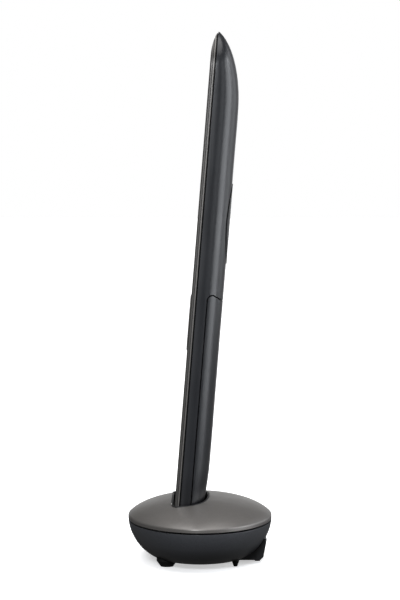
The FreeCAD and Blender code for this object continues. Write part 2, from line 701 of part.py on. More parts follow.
def bowl_body(inset, floor, high):
    """The bowl from floor to high, moved in by inset, before it is stretched."""
    arc = BOWL_ARC - inset
    at = lambda z: V(BOWL_ARC_R + math.sqrt(arc**2 - (z - BOWL_ARC_Z) ** 2), 0, z)
    low, top = at(floor), at(high)
    return turned([
        Part.LineSegment(V(0, 0, floor), low),
        Part.Arc(low, at((floor + high) / 2), top),
        Part.LineSegment(top, V(0, 0, high)),
        Part.LineSegment(V(0, 0, high), V(0, 0, floor)),
    ])


def oval_plate(half_x, half_y, low, high):
    ellipse = Part.Ellipse(V(half_x, 0, low), V(0, half_y, low), V(0, 0, low))
    return Part.Face(Part.Wire([ellipse.toShape()])).extrude(V(0, 0, high - low))


def well_body(grow, low, high):
    """The well's inside, enlarged by grow, in the handset frame: D-shaped behind, with soft front corners."""
    grid = []
    across = HALF_WIDTH + WELL_SIDE_GAP + grow
    for i in range(6):
        z = low + (high - low) * i / 5
        depth = back_y(max(z, 0)) + WELL_BACK_GAP + grow - SEAM
        grid.append([V(x, SEAM + y, z) for x, y in superellipse(across, depth, BACK_POWER, 28)])
    front = -WELL_FRONT_GAP - grow
    inner_x, corner_y = across - WELL_CORNER[0] - 3 * grow, front + WELL_CORNER[1] + grow
    corners = [
        bent([V(s * across, corner_y, low), V(s * across, front, low), V(s * inner_x, front, low)]) for s in (-1, 1)
    ]
    line = lambda a, b: Part.LineSegment(V(*a, low), V(*b, low)).toShape()
    edges = corners + [
        line((-inner_x, front), (inner_x, front)),
        line((across, corner_y), (across, SEAM)),
        line((across, SEAM), (-across, SEAM)),
        line((-across, SEAM), (-across, corner_y)),
    ]
    nose = Part.Face(Part.Wire(Part.__sortEdges__(edges))).extrude(V(0, 0, high - low))
    return fused([closed_body(grid), nose])


# ---------------------------------------------------------------- base: pieces
def cradle_top_cover():
    shell = stretched(dome_body(0, RIM_Z + RIM_GAP, True)).cut(stretched(dome_body(WALL, RIM_Z - 3, False)))
    slot = leaned(well_body(WELL_WALL + 0.08, -6, 40))
    roof = stretched(dome_body(WALL / 2, RIM_Z - 12, False))
    bosses = [post_z(x, y, 1.7, PLATE_TOP + 0.1, 40).common(roof) for x, y in BASE_SCREWS]
    cover = shell.cut(slot).fuse(bosses).removeSplitter()
    return cover.cut([post_z(x, y, 0.92, 0, 12) for x, y in BASE_SCREWS])


def cradle_well():
    """Liner of the slot: it guides the handset's end and rises a little above the dome in front."""
    outer = well_body(WELL_WALL, WELL_UNDER, 22)
    inner = well_body(0, WELL_FLOOR, 24)
    liner = outer.cut(inner)
    ribs = [box((s * 14 - 0.7, 0.6, WELL_FLOOR - 0.1), (s * 14 + 0.7, 7.0, -0.05)) for s in (-1, 1)]
    slots = [box((s * PAD_X - 1.7, 1.6, -4), (s * PAD_X + 1.7, 7.1, 0)) for s in (-1, 1)]
    liner = leaned(liner.fuse(ribs).cut(slots))
    limit = stretched(dome_body(0, -5, False))
    limit.translate(V(0, LIP_SHIFT, LIP_LIFT))
    return liner.common(limit)


def housing_profile(inset, low, half):
    """The socket block under the back of the bowl, with a slightly raked rear face."""
    back = [(8.0, low), (19.9 - inset, low), (20.9 - inset, low + 1.0), (22.0 - inset, 8.0), (19.0, 9.4), (8.0, 9.4)]
    return profile_yz(back, half)


def page_stadium(grow, front, back):
    return plate_xz(11.0 + 2 * grow, 3.4 + 2 * grow, 1.69 + grow, 0, PAGE_Z, front, back)


def socket_window(x, z, width, height, grow):
    return box((x - width / 2 - grow, 17, z - height / 2 - grow), (x + width / 2 + grow, 26, z + height / 2 + grow))


def bowl_skin():
    outer = stretched(bowl_body(0, FLOOR_Z, RIM_Z - RIM_GAP))
    inner = stretched(bowl_body(WALL, PLATE_TOP, RIM_Z + 1))
    return outer, inner


def cradle_bowl():
    outer, inner = bowl_skin()
    block = housing_profile(0, HOUSING_Z, HOUSING_HALF)
    room = housing_profile(WALL, HOUSING_Z + HOUSING_FLOOR, HOUSING_HALF - WALL).cut(box((-20, 0, 0), (20, 9.2, 20)))
    walls = outer.fuse(block).removeSplitter().cut([inner, room])
    walls = walls.cut(oval_plate(PLATE_HALF[0], PLATE_HALF[1], -1, PLATE_TOP + 0.5).cut(
        box((-HOUSING_HALF, 8.0, -2), (HOUSING_HALF, 30, 6))))
    cuts = [page_stadium(0.2, -30, -15)]
    for x, z, width, height in (POWER_SOCKET, LINE_SOCKET):
        cuts.append(socket_window(x, z, width, height, SOCKET_WALL + 0.1))
    return walls.cut(cuts).removeSplitter()


def cradle_base_plate():
    plate = oval_plate(PLATE_HALF[0] - 0.2, PLATE_HALF[1] - 0.2, FLOOR_Z, PLATE_TOP)
    plate = plate.cut(box((-HOUSING_HALF - 0.2, 7.8, 0), (HOUSING_HALF + 0.2, 30, 6)))
    holes = []
    for x, y in BASE_SCREWS:
        holes.append(post_z(x, y, 1.1, 0, 6))
        holes.append(post_z(x, y, 1.95, 0, FLOOR_Z + 0.7))
    slots = [box((x - 0.6, -6, 0), (x + 0.6, 4, 6)) for x in (-3.6, 0, 3.6)]
    return plate.cut(holes + slots)


def foot(x, y, top, bottom, rounding):
    """A foot that narrows from the underside of the base to the table, rooted in the base."""
    cone = Part.makeCone(bottom, top, FLOOR_Z, V(x, y, 0))
    whole = fused([cone, post_z(x, y, top, FLOOR_Z, FLOOR_Z + 2.4)])
    return whole.makeFillet(rounding, [e for e in whole.Edges if e.Closed and e.CenterOfMass.z < 0.01])


def rubber_feet():
    """Two broad feet in front and two small ones behind."""
    feet = []
    for s in (-1, 1):
        feet.append(foot(s * FOOT_FRONT[0], FOOT_FRONT[1], 3.4, 2.0, 0.35))
        feet.append(foot(s * FOOT_REAR[0], FOOT_REAR[1], 1.25, 0.6, 0.2))
    return feet


def rear_foot_strip():
    strip = box((-7.5, 18.2, 0), (7.5, 20.0, HOUSING_Z))
    return strip.makeFillet(0.5, [e for e in strip.Edges if abs(e.tangentAt(e.FirstParameter).z) > 0.9])


def ballast_plates():
    """Steel plates that weight the base, lying on the base plate and at both ends."""
    plates = []
    for s in (-1, 1):
        low, high = sorted((s * 11.6, s * 21.6))
        plates.append(box((low, -7.2, PLATE_TOP + 0.05), (high, 3.2, 5.0)))
        low, high = sorted((s * 28.2, s * 32.4))
        plates.append(box((low, -6, 6.2), (high, 6, 12.2)))
    return Part.makeCompound([p.makeFillet(0.5, p.Edges) for p in plates])


def cradle_board():
    board = box((-12.4, 5.8, 9.6), (12.4, 18.4, 10.4))
    chip = box((-3, 9, 10.4), (3, 14, 11.5))
    return Part.makeCompound([board, chip])


def contact_block():
    """Moulded block that clamps the charging contacts, lying on the base plate."""
    block = box((-10.4, -1.4, -4.75), (10.4, 1.2, -1.9))
    slots = [box((s * PAD_X - 1.5, 0.2, -3.35), (s * PAD_X + 1.5, 1.4, -1.8)) for s in (-1, 1)]
    return leaned(block.cut(slots))


def contact_leaf(side):
    """Bent spring strip whose crown touches the handset's charging pad."""
    y0, z0 = CONTACT_PIVOT
    line = [(y0 - 0.35, z0), (3.2, -2.3), (4.1, -0.45), (PAD_Y, -0.03 - LEAF / 2), (5.3, -0.45), (6.3, -1.6)]
    half = LEAF / 2
    upper, lower = [], []
    for i, (y, z) in enumerate(line):
        ya, za = line[max(0, i - 1)]
        yb, zb = line[min(len(line) - 1, i + 1)]
        run = math.hypot(yb - ya, zb - za)
        ny, nz = -(zb - za) / run, (yb - ya) / run
        upper.append((y + ny * half, z + nz * half))
        lower.append((y - ny * half, z - nz * half))
    root = Part.makeCylinder(0.3, 2.5, V(-1.25, y0, z0), V(1, 0, 0))
    strip = fused([profile_yz(upper + lower[::-1], 1.25), root])
    strip.translate(V(side * PAD_X, 0, 0))
    return leaned(strip)


def socket(x, z, width, height, deep, contacts):
    """A panel socket: a moulded box with an open mouth to the rear and contact wires inside."""
    wall = SOCKET_WALL
    low = (x - width / 2 - wall, SOCKET_Y - deep - wall, z - height / 2 - wall)
    high = (x + width / 2 + wall, SOCKET_Y, z + height / 2 + wall)
    mouth = box((x - width / 2, SOCKET_Y - deep, z - height / 2), (x + width / 2, SOCKET_Y + 1, z + height / 2))
    body = box(low, high).cut(mouth)
    wires = []
    for i in range(contacts):
        cx = x + (i - (contacts - 1) / 2) * 1.3
        top = z + height / 2
        wires.append(box((cx - 0.2, SOCKET_Y - deep - 0.1, top - 0.45), (cx + 0.2, SOCKET_Y - 2.4, top + 0.1)))
    return fused([body] + wires)


def power_inlet():
    return socket(*POWER_SOCKET, 8.0, 2)


def line_socket():
    return socket(*LINE_SOCKET, 10.0, 4)


def page_key():
    """Handset-finder button: a piece of the bowl's own skin on a stem, guided towards its switch."""
    outer, inner = bowl_skin()
    face = outer.cut(inner).common(page_stadium(0, -30, -15))
    stem = page_stadium(-0.8, -21.5, -17.1)
    return fused([face, stem])


def page_switch():
    board = box((-6, -12.6, PLATE_TOP + 0.05), (6, -11.7, 12.2))
    body = box((-3, -15.4, 6.2), (3, -12.6, 10.6))
    plunger = Part.makeCylinder(1.4, 0.8, V(0, -16.2, PAGE_Z), V(0, 1, 0))
    return Part.makeCompound([board, fused([body, plunger])])


def cradle_screws():
    screws = []
    for x, y in BASE_SCREWS:
        head = post_z(x, y, 1.8, FLOOR_Z + 0.1, FLOOR_Z + 0.7)
        shank = post_z(x, y, 0.9, FLOOR_Z + 0.7, 9.5)
        cross = [box((x - 1.1, y - 0.2, 0), (x + 1.1, y + 0.2, FLOOR_Z + 0.4)),
                 box((x - 0.2, y - 1.1, 0), (x + 0.2, y + 1.1, FLOOR_Z + 0.4))]
        screws.append(fused([head, shank]).cut(cross))
    return Part.makeCompound(screws)


def main():
    os.makedirs("parts", exist_ok=True)
    parts = {}
    outer, room = casing_skin()
    handset = {
        "rear_casing": rear_casing(outer, room),
        "speaker_cover": speaker_cover(outer),
        "battery_cover": battery_cover(outer, room),
        "front_shell": front_shell(),
        "trim_ring": trim_ring(),
        "fascia": fascia(),
        "display_window": window_plate(0, FASCIA_FRONT, FASCIA_BACK),
        "display_gasket": display_gasket(),
        "display_module": display_module(),
        "earpiece_mesh": earpiece_mesh(),
        "earpiece_receiver": earpiece_receiver(),
        "loudspeaker": loudspeaker(),
        "speaker_gasket": speaker_gasket(),
        "main_board": main_board(),
        "shield_cans": shield_cans(),
        "antenna": antenna(),
        "keypad_mat": keypad_mat(),
        "dome_switches": dome_switches(),
        "microphone": microphone(),
        "microphone_boot": microphone_boot(),
        "battery_pack": battery_pack(),
        "battery_contacts": battery_contacts(),
        "charge_pads": charge_pads(),
        "handset_screws": handset_screws(),
        "nav_ring": nav_ring(),
        "nav_carrier": nav_carrier(),
        "nav_centre_key": nav_centre_key(),
    }
    for name, x, z, size in key_places():
        handset[name] = key(x, z, size)
    for name, shape in handset.items():
        parts[name] = leaned(shape)
    feet = rubber_feet()
    base = {
        "cradle_top_cover": cradle_top_cover(),
        "cradle_well": cradle_well(),
        "cradle_bowl": cradle_bowl().cut(feet),
        "cradle_base_plate": cradle_base_plate().cut(feet),
        "rubber_feet": Part.makeCompound(feet),
        "rear_foot_strip": rear_foot_strip(),
        "ballast_plates": ballast_plates(),
        "cradle_board": cradle_board(),
        "contact_block": contact_block(),
        "contact_leaf_left": contact_leaf(-1),
        "contact_leaf_right": contact_leaf(1),
        "power_inlet": power_inlet(),
        "line_socket": line_socket(),
        "page_key": page_key(),
        "page_switch": page_switch(),
        "cradle_screws": cradle_screws(),
    }
    parts.update(base)
    for name, shape in parts.items():
        shape.exportStep(f"parts/{name}.step")
        print(f"{name}: {len(shape.Solids)} solids, valid {shape.isValid()}, volume {shape.Volume:.1f} mm3")


main()
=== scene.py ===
import math

import bmesh
import bpy
from mathutils import Matrix, Vector


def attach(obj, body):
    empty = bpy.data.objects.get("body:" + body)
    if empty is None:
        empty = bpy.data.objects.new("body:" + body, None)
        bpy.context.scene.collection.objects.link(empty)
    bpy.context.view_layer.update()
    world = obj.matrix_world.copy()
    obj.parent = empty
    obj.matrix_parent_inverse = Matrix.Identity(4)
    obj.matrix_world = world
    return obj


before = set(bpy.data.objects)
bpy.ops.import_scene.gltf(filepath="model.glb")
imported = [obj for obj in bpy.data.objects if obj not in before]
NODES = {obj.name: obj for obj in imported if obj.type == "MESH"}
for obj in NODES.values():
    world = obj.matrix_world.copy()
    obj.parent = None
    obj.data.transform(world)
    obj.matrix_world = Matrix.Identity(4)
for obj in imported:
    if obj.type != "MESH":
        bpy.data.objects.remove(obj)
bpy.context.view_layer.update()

MM = 0.001

# The handset's own frame: x across, y from its front to its back, z from its bottom end to its tip.
LEAN = math.radians(4.6)
HANDSET = Matrix.Translation((0, -9.3 * MM, 8.0 * MM)) @ Matrix.Rotation(-LEAN, 4, "X")

# Places on the handset, in its own frame.
SHELL_SHADE_EDGE = 0.9 * MM  # the front shell's painted seam shade starts here: behind it the shell is painted black
SEAM = 1.93 * MM  # the rear casing starts here
SLOT_SHADE_DARK, SLOT_SHADE_CLEAR = 10 * MM, 26 * MM  # painted shade: the casing darkens between these heights, towards the slot
NAV_Z = 71.1 * MM  # height of the navigation control's middle
DISC_Z = 105.0 * MM  # height of the loudspeaker cover's middle
MOAT_RADIUS = 13.85 * MM  # middle of the groove round the loudspeaker cover
MOAT_HALF_WIDTH = 0.5 * MM
LIP_LOW, LIP_HIGH = (-11.0, 1.5, 0.5), (11.0, 1.98, 2.2)  # corners of the lip at the bottom end, in mm

# Places on the base.
BOWL_SHADE_DARK, BOWL_SHADE_CLEAR = 2.2 * MM, 8.0 * MM  # painted shade: the bowl turns black between these heights, towards its underside
BLOCK_FRONT = 9 * MM  # y where the block under the back of the base starts
END_FACING = (0.97, 0.99)  # a face is one of the block's ends when its normal's x is past these

# Sizes of regular patterns.
BRUSH_LINE = MM / 9
DISPLAY_CELL = 0.6 * MM
TRACK_CELL = 2.2 * MM

# Widths of the soft edges between two looks.
SHELL_SHADE_BLUR = 0.05 * MM
SEAM_BLUR = 0.02 * MM
MOAT_BLUR = 0.03 * MM
BLOCK_BLUR = 1 * MM

# The Mix node's sockets for colours, whose names other sockets share.
MIX_FACTOR, MIX_FROM, MIX_TO, MIX_RESULT = 0, 6, 7, 2


def scaled(colour, level):
    """The same colour, darker or lighter."""
    return tuple(level * c for c in colour)


def in_scene(name, data):
    """A new object in the scene, made from a mesh, a light or a camera."""
    made = bpy.data.objects.new(name, data)
    bpy.context.scene.collection.objects.link(made)
    return made


# ---------------------------------------------------------------- materials
class Look:
    """A Principled material with the noise, bump and rounded edges that most surfaces here share."""

    def __init__(self, name, metallic=0.0, specular=0.5, coat=0.0, coat_roughness=0.1):
        self.material = bpy.data.materials.new(name)
        self.material.use_nodes = True
        self.tree = self.material.node_tree
        self.shader = self.tree.nodes["Principled BSDF"]
        self.set("Metallic", metallic)
        self.set("Specular IOR Level", specular)
        self.set("Coat Weight", coat)
        self.set("Coat Roughness", coat_roughness)
        self.place = self.node("ShaderNodeTexCoord").outputs["Object"]
        self.normal = None

    def set(self, socket, value):
        self.shader.inputs[socket].default_value = value

    def node(self, kind, **values):
        made = self.tree.nodes.new(kind)
        for key, value in values.items():
            setattr(made, key, value)
        return made

    def link(self, source, target):
        self.tree.links.new(source, target)

    def noise(self, size_mm, detail=2.0, stretch=(1, 1, 1)):
        """Noise whose features are about size_mm across, before any stretch."""
        mapping = self.node("ShaderNodeMapping")
        mapping.inputs["Scale"].default_value = stretch
        self.link(self.place, mapping.inputs["Vector"])
        noise = self.node("ShaderNodeTexNoise")
        noise.inputs["Scale"].default_value = 1 / (size_mm * MM)
        noise.inputs["Detail"].default_value = detail
        self.link(mapping.outputs["Vector"], noise.inputs["Vector"])
        return noise.outputs["Fac"]

    def ramp(self, factor, low, high, start=0.35, end=0.65):
        """A colour that runs from low to high as factor runs from start to end."""
        ramp = self.node("ShaderNodeValToRGB")
        first, last = ramp.color_ramp.elements
        first.position, last.position = start, end
        first.color, last.color = (*low, 1), (*high, 1)
        self.link(factor, ramp.inputs["Fac"])
        return ramp.outputs["Color"]

    def spread(self, factor, low, high, start=0.3, end=0.7):
        """A number that runs from low to high as factor runs from start to end."""
        spread = self.node("ShaderNodeMapRange")
        ends = {"From Min": start, "From Max": end, "To Min": low, "To Max": high}
        for socket, value in ends.items():
            spread.inputs[socket].default_value = value
        self.link(factor, spread.inputs["Value"])
        return spread.outputs["Result"]

    def opposite(self, factor):
        """1 where factor is 0, and 0 where it is 1."""
        return self.spread(factor, 1.0, 0.0, 0.0, 1.0)

    def math(self, operation, first, second=0.0):
        """A calculation on two sockets, or on a socket and a number."""
        node = self.node("ShaderNodeMath", operation=operation)
        self.link(first, node.inputs[0])
        if isinstance(second, float):
            node.inputs[1].default_value = second
        else:
            self.link(second, node.inputs[1])
        return node.outputs["Value"]

    def part_of(self, vector, axis):
        """One axis of a vector socket."""
        split = self.node("ShaderNodeSeparateXYZ")
        self.link(vector, split.inputs["Vector"])
        return split.outputs[axis]

    def handset_axis(self, axis):
        """Where a point lies along one axis of the handset's own frame, in metres."""
        mapping = self.node("ShaderNodeMapping", vector_type="TEXTURE")
        mapping.inputs["Location"].default_value = HANDSET.to_translation()
        mapping.inputs["Rotation"].default_value = HANDSET.to_euler()
        self.link(self.place, mapping.inputs["Vector"])
        return self.part_of(mapping.outputs["Vector"], axis)

    def out_of_moat(self):
        """0 in the groove round the loudspeaker's cover, 1 elsewhere."""
        spot = self.node("ShaderNodeCombineXYZ")
        self.link(self.handset_axis("X"), spot.inputs["X"])
        self.link(self.math("SUBTRACT", self.handset_axis("Z"), DISC_Z), spot.inputs["Z"])
        radius = self.node("ShaderNodeVectorMath", operation="LENGTH")
        self.link(spot.outputs["Vector"], radius.inputs[0])
        off = self.math("ABSOLUTE", self.math("SUBTRACT", radius.outputs["Value"], MOAT_RADIUS))
        return self.spread(off, 0.0, 1.0, MOAT_HALF_WIDTH, MOAT_HALF_WIDTH + MOAT_BLUR)

    def off_block_sides(self):
        """0 on the flat ends of the block under the back of the base, 1 elsewhere."""
        across = self.part_of(self.node("ShaderNodeTexCoord").outputs["Normal"], "X")
        is_end = self.spread(self.math("ABSOLUTE", across), 0.0, 1.0, *END_FACING)
        is_back = self.spread(self.part_of(self.place, "Y"), 0.0, 1.0, BLOCK_FRONT, BLOCK_FRONT + BLOCK_BLUR)
        return self.opposite(self.math("MULTIPLY", is_end, is_back))

    def shade(self, factor, dark, source):
        """Source where factor is 1, running to the dark colour where it is 0."""
        mix = self.node("ShaderNodeMix", data_type="RGBA")
        mix.inputs[MIX_FROM].default_value = (*dark, 1)
        self.link(factor, mix.inputs[MIX_FACTOR])
        self.link(source, mix.inputs[MIX_TO])
        return mix.outputs[MIX_RESULT]

    def dull_where_0(self, factor, rough):
        """Roughness that rises to 1 where factor is 0."""
        return self.math("MAXIMUM", rough, self.opposite(factor))

    def colour(self, source):
        self.link(source, self.shader.inputs["Base Color"])

    def roughness(self, source):
        self.link(source, self.shader.inputs["Roughness"])

    def rounded(self, radius_mm):
        """Soft highlights along sharp edges."""
        bevel = self.node("ShaderNodeBevel", samples=4)
        bevel.inputs["Radius"].default_value = radius_mm * MM
        self.normal = bevel.outputs["Normal"]
        self.link(self.normal, self.shader.inputs["Normal"])

    def bump(self, height, depth_mm, strength=1.0):
        """Relief on top of any rounded edges."""
        bump = self.node("ShaderNodeBump")
        bump.inputs["Strength"].default_value = strength
        bump.inputs["Distance"].default_value = depth_mm * MM
        self.link(height, bump.inputs["Height"])
        if self.normal is not None:
            self.link(self.normal, bump.inputs["Normal"])
        self.normal = bump.outputs["Normal"]
        self.link(self.normal, self.shader.inputs["Normal"])


def metallic_paint(name, level, masked=False):
    """Warm grey paint with fine metal flake. Masked, it gives way to painted shade behind the handset's
    first seam: black, where the shell shows in the gap.
    """
    look = Look(name, metallic=0.45, coat=0.15, coat_roughness=0.25)
    low, high = scaled((0.105, 0.098, 0.092), level), scaled((0.155, 0.146, 0.137), level)
    flake = look.ramp(look.noise(0.12, 1), low, high, 0.3, 0.7)
    rough = look.spread(look.noise(9, 3), 0.36, 0.43)
    if masked:
        # Painted shade: behind its front edge the shell is black, where it shows in the seam.
        in_front = look.spread(look.handset_axis("Y"), 1.0, 0.0, SHELL_SHADE_EDGE, SHELL_SHADE_EDGE + SHELL_SHADE_BLUR)
        flake = look.shade(in_front, (0.006, 0.006, 0.006), flake)
        rough = look.dull_where_0(in_front, rough)
    look.colour(flake)
    look.roughness(rough)
    look.rounded(0.15)
    look.bump(look.noise(0.25, 2), 0.006, 0.35)
    return look.material


def casing_plastic():
    """Slate grey moulded plastic with a fine spark-eroded texture, and painted shade: black in the seam and
    the groove, darker towards the slot.
    """
    look = Look("casing_plastic", specular=0.45)
    texture = look.ramp(look.noise(0.3, 2), (0.013, 0.014, 0.016), (0.018, 0.019, 0.022))
    # Painted shade: the casing's colour darkens towards its bottom end, where it stands in the slot.
    clear_of_slot_shade = look.spread(look.handset_axis("Z"), 0.0, 1.0, SLOT_SHADE_DARK, SLOT_SHADE_CLEAR)
    texture = look.shade(clear_of_slot_shade, (0.006, 0.006, 0.007), texture)
    # Painted shade: black in the seam behind the trim ring and in the groove round the loudspeaker's cover,
    # where shade falls.
    behind_seam = look.spread(look.handset_axis("Y"), 0.0, 1.0, SEAM, SEAM + SEAM_BLUR)
    outside = look.math("MULTIPLY", behind_seam, look.out_of_moat())
    look.colour(look.shade(outside, (0.002, 0.002, 0.002), texture))
    look.roughness(look.dull_where_0(outside, look.spread(look.noise(12, 3), 0.30, 0.36)))
    look.rounded(0.12)
    look.bump(look.noise(0.22, 3), 0.01, 0.3)
    return look.material


def bowl_plastic():
    """Smoother slate plastic on the lower half of the base, lighter than the casing's as painted light, with
    painted shade: black at the bottom and on the block's ends.
    """
    look = Look("bowl_plastic", specular=0.5)
    # Painted light: the same slate plastic as the casing, made about three times lighter on the bowl.
    texture = look.ramp(look.noise(0.4, 2), (0.046, 0.048, 0.053), (0.057, 0.059, 0.065))
    # Painted shade: the bowl darkens to black towards its underside, which faces away from the light.
    above_bowl_shade = look.spread(look.part_of(look.place, "Z"), 0.0, 1.0, BOWL_SHADE_DARK, BOWL_SHADE_CLEAR)
    texture = look.shade(above_bowl_shade, (0.006, 0.006, 0.006), texture)
    # Painted shade: the flat ends of the block under the back of the base, which face sideways, are painted
    # near black.
    look.colour(look.shade(look.off_block_sides(), (0.008, 0.008, 0.009), texture))
    look.roughness(look.spread(look.noise(14, 3), 0.34, 0.42))
    look.rounded(0.15)
    look.bump(look.noise(0.3, 2), 0.008, 0.25)
    return look.material


def black_plastic():
    """Matt black moulded plastic."""
    look = Look("black_plastic", specular=0.35)
    look.colour(look.ramp(look.noise(0.5, 2), (0.006, 0.006, 0.006), (0.011, 0.011, 0.012)))
    look.roughness(look.spread(look.noise(6, 3), 0.42, 0.52))
    look.rounded(0.12)
    look.bump(look.noise(0.25, 2), 0.01, 0.35)
    return look.material


def gloss_black():
    """Polished front panel."""
    look = Look("gloss_black", specular=0.5, coat=0.6, coat_roughness=0.04)
    look.colour(look.ramp(look.noise(3, 2), (0.007, 0.007, 0.008), (0.010, 0.010, 0.011)))
    look.roughness(look.spread(look.noise(8, 4), 0.12, 0.2))
    look.rounded(0.1)
    look.bump(look.noise(15, 2), 0.02, 0.1)
    return look.material


def key_plastic():
    """Satin key caps."""
    look = Look("key_plastic", specular=0.5, coat=0.3, coat_roughness=0.18)
    look.colour(look.ramp(look.noise(0.6, 2), (0.030, 0.031, 0.034), (0.038, 0.039, 0.043)))
    look.roughness(look.spread(look.noise(4, 3), 0.26, 0.36))
    look.rounded(0.15)
    look.bump(look.noise(0.3, 2), 0.006, 0.3)
    return look.material


def turned_metal():
    """Satin metal brushed in circles round the navigation control's middle."""
    look = Look("turned_metal", metallic=1.0)
    shift = look.node("ShaderNodeMapping", vector_type="POINT")
    shift.inputs["Location"].default_value = -(HANDSET @ Vector((0, 0, NAV_Z)))
    look.link(look.place, shift.inputs["Vector"])
    length = look.node("ShaderNodeVectorMath", operation="LENGTH")
    look.link(shift.outputs["Vector"], length.inputs[0])
    rings = look.node("ShaderNodeTexNoise", noise_dimensions="1D")
    rings.inputs["Scale"].default_value = 1 / BRUSH_LINE
    rings.inputs["Detail"].default_value = 3
    look.link(length.outputs["Value"], rings.inputs["W"])
    look.colour(look.ramp(rings.outputs["Fac"], (0.50, 0.49, 0.48), (0.62, 0.61, 0.6), 0.3, 0.7))
    look.roughness(look.spread(rings.outputs["Fac"], 0.24, 0.36))
    look.rounded(0.12)
    look.bump(rings.outputs["Fac"], 0.004, 0.4)
    return look.material


def plain_metal(name, low, high, rough, size_mm=0.4, stretch=(1, 1, 1)):
    """Bare or plated metal whose grain shows in its colour, roughness and relief."""
    look = Look(name, metallic=1.0)
    grain = look.noise(size_mm, 3, stretch)
    look.colour(look.ramp(grain, low, high))
    look.roughness(look.spread(grain, *rough))
    look.rounded(0.1)
    look.bump(grain, 0.005, 0.3)
    return look.material


def rubber():
    """Dull black rubber."""
    look = Look("rubber", specular=0.15)
    look.colour(look.ramp(look.noise(0.5, 3), (0.004, 0.004, 0.004), (0.009, 0.009, 0.009)))
    look.roughness(look.spread(look.noise(2, 3), 0.62, 0.78))
    look.rounded(0.2)
    look.bump(look.noise(0.35, 3), 0.03, 0.4)
    return look.material


def window_glass():
    """Tinted glass over the display."""
    look = Look("window_glass", specular=0.6, coat=1.0, coat_roughness=0.02)
    look.colour(look.ramp(look.noise(20, 2), (0.30, 0.32, 0.35), (0.36, 0.38, 0.41)))
    look.roughness(look.spread(look.noise(10, 4), 0.04, 0.09))
    look.set("Transmission Weight", 0.92)
    look.rounded(0.08)
    look.bump(look.noise(18, 2), 0.01, 0.1)
    return look.material


def display_panel():
    """Switched-off liquid crystal panel with a faint grid of cells."""
    look = Look("display_panel", specular=0.5)
    grid = look.node("ShaderNodeTexBrick")
    grid.inputs["Scale"].default_value = 1 / DISPLAY_CELL
    grid.inputs["Color1"].default_value = (0.16, 0.19, 0.21, 1)
    grid.inputs["Color2"].default_value = (0.18, 0.21, 0.23, 1)
    grid.inputs["Mortar"].default_value = (0.14, 0.165, 0.185, 1)
    grid.inputs["Mortar Size"].default_value = 0.03
    look.link(look.place, grid.inputs["Vector"])
    look.colour(grid.outputs["Color"])
    look.roughness(look.spread(look.noise(6, 2), 0.25, 0.35))
    return look.material


def circuit_board():
    """Green solder mask with copper tracks showing through it."""
    look = Look("circuit_board", specular=0.5, coat=0.4, coat_roughness=0.15)
    cells = look.node("ShaderNodeTexVoronoi", feature="DISTANCE_TO_EDGE", distance="MANHATTAN")
    cells.inputs["Scale"].default_value = 1 / TRACK_CELL
    look.link(look.place, cells.inputs["Vector"])
    edge = cells.outputs["Distance"]
    look.colour(look.ramp(edge, (0.035, 0.17, 0.07), (0.012, 0.075, 0.03), 0.05, 0.08))
    look.roughness(look.spread(look.noise(5, 2), 0.25, 0.4))
    look.bump(edge, 0.03, 0.2)
    return look.material


def printed_ink(name, colour):
    """Slightly uneven ink."""
    look = Look(name, specular=0.4)
    look.colour(look.ramp(look.noise(0.5, 2), scaled(colour, 0.88), colour))
    look.roughness(look.spread(look.noise(2, 2), 0.4, 0.5))
    return look.material


def battery_wrap():
    """Blue shrink wrap round the cells."""
    look = Look("battery_wrap", specular=0.5, coat=0.4, coat_roughness=0.1)
    look.colour(look.ramp(look.noise(8, 3), (0.05, 0.085, 0.16), (0.07, 0.11, 0.2)))
    look.roughness(look.spread(look.noise(3, 3), 0.22, 0.34))
    look.bump(look.noise(5, 3), 0.05, 0.3)
    return look.material


def studio_floor():
    """White floor with a little light of its own, which keeps its shadows pale."""
    look = Look("studio_floor", specular=0.1)
    look.colour(look.ramp(look.noise(120, 2), (0.90, 0.90, 0.90), (0.92, 0.92, 0.92)))
    look.roughness(look.spread(look.noise(60, 2), 0.7, 0.8))
    look.set("Emission Color", (1, 1, 1, 1))
    look.set("Emission Strength", 0.5)
    return look.material


